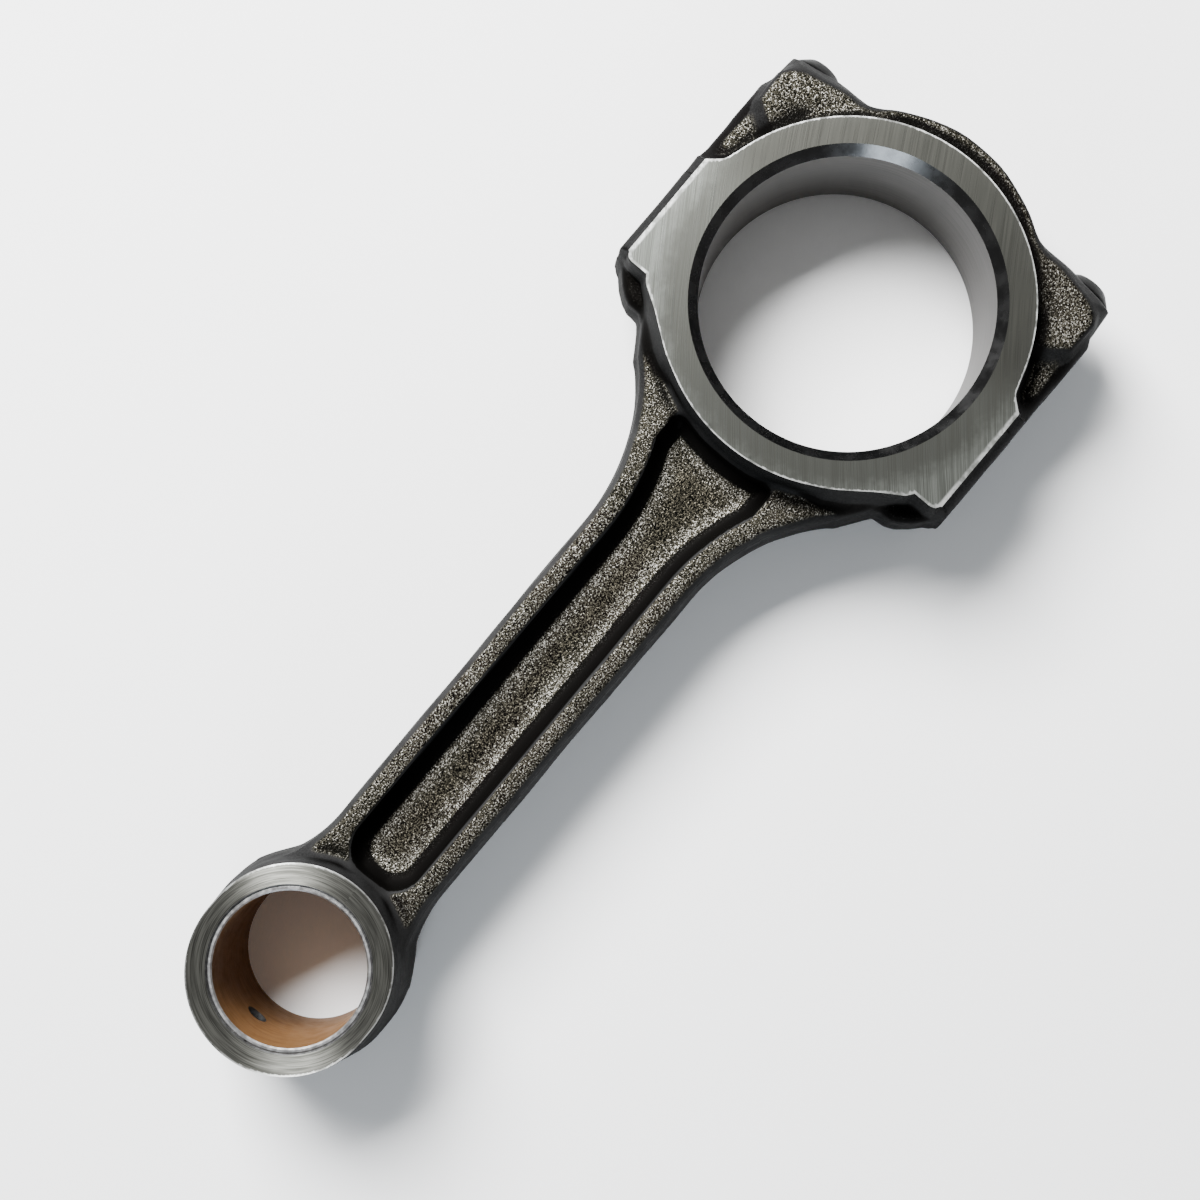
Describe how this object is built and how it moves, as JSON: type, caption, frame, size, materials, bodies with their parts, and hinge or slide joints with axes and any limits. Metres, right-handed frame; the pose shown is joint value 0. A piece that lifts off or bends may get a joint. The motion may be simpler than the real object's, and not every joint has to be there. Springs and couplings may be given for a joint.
{
  "type": "connecting rod",
  "caption": "Forged I-beam connecting rod with a split big end, a cap on two screws and a bronze-lined small end with an oil hole.",
  "frame": {"origin": "crankpin bore axis at mid width of the rod", "axes": "+X from the big end to the small end, +Z along the bore axes, +Y across the rod; the rod lies on a side face"},
  "size_m": [0.3047, 0.1106, 0.0404],
  "materials": {
    "forged_steel": "shot-blasted dark forging with ground side faces",
    "screw_steel": "black oxide",
    "bush_bronze": "fine-bored bronze"
  },
  "bodies": {
    "rod": {"rod_body": "forged_steel", "small_end_bush": "bush_bronze"},
    "cap": {"big_end_cap": "forged_steel"},
    "screw_left": {"cap_screw_left": "screw_steel"},
    "screw_right": {"cap_screw_right": "screw_steel"}
  },
  "joints": [
    {"name": "cap_slide", "type": "slide", "parent": "rod", "child": "cap", "axis": [-1, 0, 0], "range_m": [0, 0.045]},
    {"name": "screw_left_slide", "type": "slide", "parent": "cap", "child": "screw_left", "axis": [-1, 0, 0], "range_m": [0, 0.03]},
    {"name": "screw_right_slide", "type": "slide", "parent": "cap", "child": "screw_right", "axis": [-1, 0, 0], "range_m": [0, 0.03]}
  ]
}
